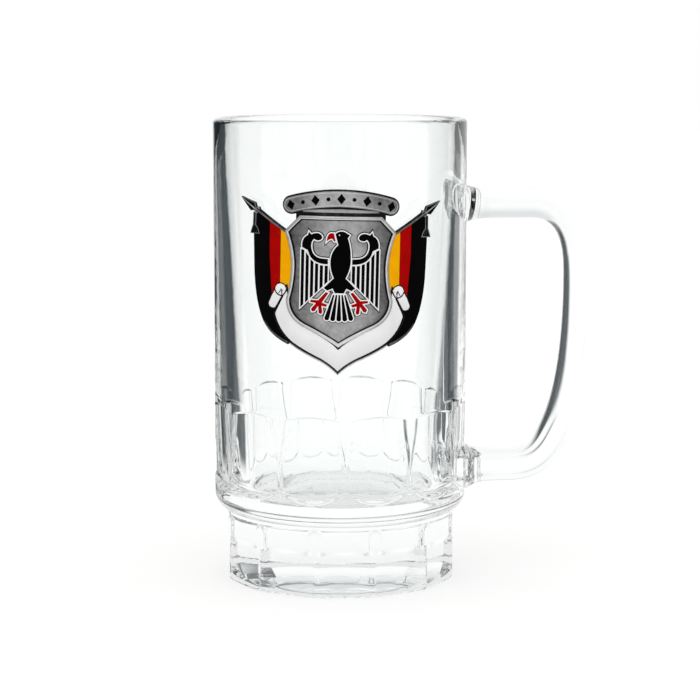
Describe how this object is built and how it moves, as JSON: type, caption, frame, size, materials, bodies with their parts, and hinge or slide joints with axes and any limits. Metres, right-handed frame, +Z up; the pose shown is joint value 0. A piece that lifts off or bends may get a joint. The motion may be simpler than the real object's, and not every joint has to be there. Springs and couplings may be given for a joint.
{
  "type": "beer mug",
  "caption": "Clear pressed-glass beer mug with a D-shaped side handle, a scooped panel band over a faceted foot, and an enamelled metal shield badge on the front.",
  "frame": {"origin": "on the surface the mug stands on, under the middle of the whole mug with its handle", "axes": "+Z up along the mug, +X towards the handle, -Y out of the badge on the front"},
  "size_m": [0.1214, 0.0824, 0.146],
  "materials": {
    "glass": "clear pressed glass, fire-polished",
    "pewter": "antiqued cast pewter colour, rubbed bright on the raised lines",
    "adhesive": "thin bonding film",
    "enamel_black": "glossy cold enamel",
    "enamel_red": "glossy cold enamel",
    "enamel_gold": "glossy cold enamel",
    "enamel_white": "glossy cold enamel"
  },
  "bodies": {
    "root": {"mug_body": "glass", "mug_handle": "glass", "badge_plate": "pewter", "badge_adhesive": "adhesive", "bird_beak": "enamel_red", "bird_body": "enamel_black", "bird_claw_left": "enamel_red", "bird_claw_right": "enamel_red", "bird_wing_left": "enamel_black", "bird_wing_right": "enamel_black", "flag_black_left": "enamel_black", "flag_black_right": "enamel_black", "flag_gold_left": "enamel_gold", "flag_gold_right": "enamel_gold", "flag_red_left": "enamel_red", "flag_red_right": "enamel_red", "plate_dot_1": "enamel_black", "plate_dot_2": "enamel_black", "plate_dot_3": "enamel_black", "plate_dot_4": "enamel_black", "plate_lozenge_1": "enamel_black", "plate_lozenge_2": "enamel_black", "plate_lozenge_3": "enamel_black", "plate_lozenge_4": "enamel_black", "plate_lozenge_5": "enamel_black", "scroll_curl_left": "enamel_white", "scroll_curl_right": "enamel_white", "scroll_ribbon": "enamel_white", "spear_fill_left": "enamel_black", "spear_fill_right": "enamel_black", "tail_feather_1": "enamel_black", "tail_feather_2": "enamel_black", "tail_feather_3": "enamel_black", "tail_feather_4": "enamel_black", "tail_feather_5": "enamel_black", "wing_feather_left_1": "enamel_black", "wing_feather_left_2": "enamel_black", "wing_feather_left_3": "enamel_black", "wing_feather_left_4": "enamel_black", "wing_feather_left_5": "enamel_black", "wing_feather_left_6": "enamel_black", "wing_feather_right_1": "enamel_black", "wing_feather_right_2": "enamel_black", "wing_feather_right_3": "enamel_black", "wing_feather_right_4": "enamel_black", "wing_feather_right_5": "enamel_black", "wing_feather_right_6": "enamel_black"}
  },
  "joints": []
}
